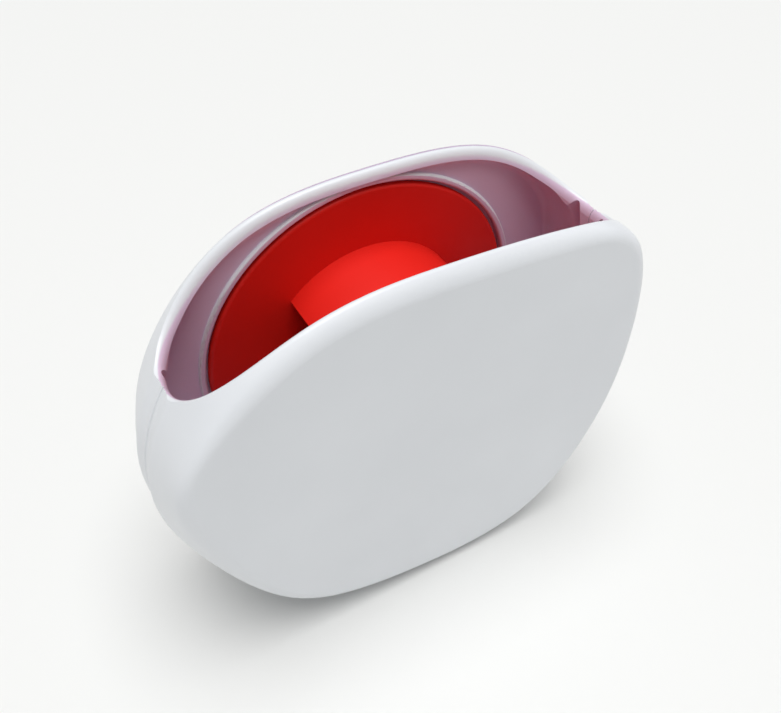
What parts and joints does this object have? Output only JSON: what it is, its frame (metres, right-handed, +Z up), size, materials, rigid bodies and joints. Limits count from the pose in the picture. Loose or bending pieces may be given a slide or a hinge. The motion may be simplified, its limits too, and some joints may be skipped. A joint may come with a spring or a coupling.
{
  "type": "cord winder",
  "caption": "Pocket cord winder: a pebble-shaped two-shell case, open along the top, around a sprung spool with a slotted hub.",
  "frame": {"origin": "middle of the base, on the surface that the case stands on", "axes": "+Z up, +X along the case's length, -Y out of the front face; the reel turns about Y"},
  "size_m": [0.0693, 0.022, 0.0614],
  "materials": {
    "case_white": "satin gloss moulded ABS",
    "reel_red": "satin moulded ABS",
    "acetal": "natural acetal",
    "steel": "zinc plated steel",
    "spring_steel": "hardened spring strip"
  },
  "bodies": {
    "case": {"front_shell": "case_white", "back_shell": "case_white", "case_screws": "steel", "axle": "steel", "retaining_clip": "spring_steel", "front_washer": "acetal", "back_washer": "acetal", "spring_arbor": "acetal", "mainspring": "spring_steel"},
    "reel": {"reel_drum": "reel_red", "reel_front_flange": "reel_red", "reel_screws": "steel", "front_bush": "acetal", "back_bush": "acetal", "spring_cup": "acetal", "spring_cup_lid": "acetal"}
  },
  "joints": [
    {"name": "reel_spin", "type": "hinge", "parent": "case", "child": "reel", "pos_m": [0, 0, 0.0359], "axis": [0, 1, 0], "range_deg": [0, 1980], "stiffness_Nm_per_rad": 0.0004, "deforming": ["mainspring"]}
  ]
}
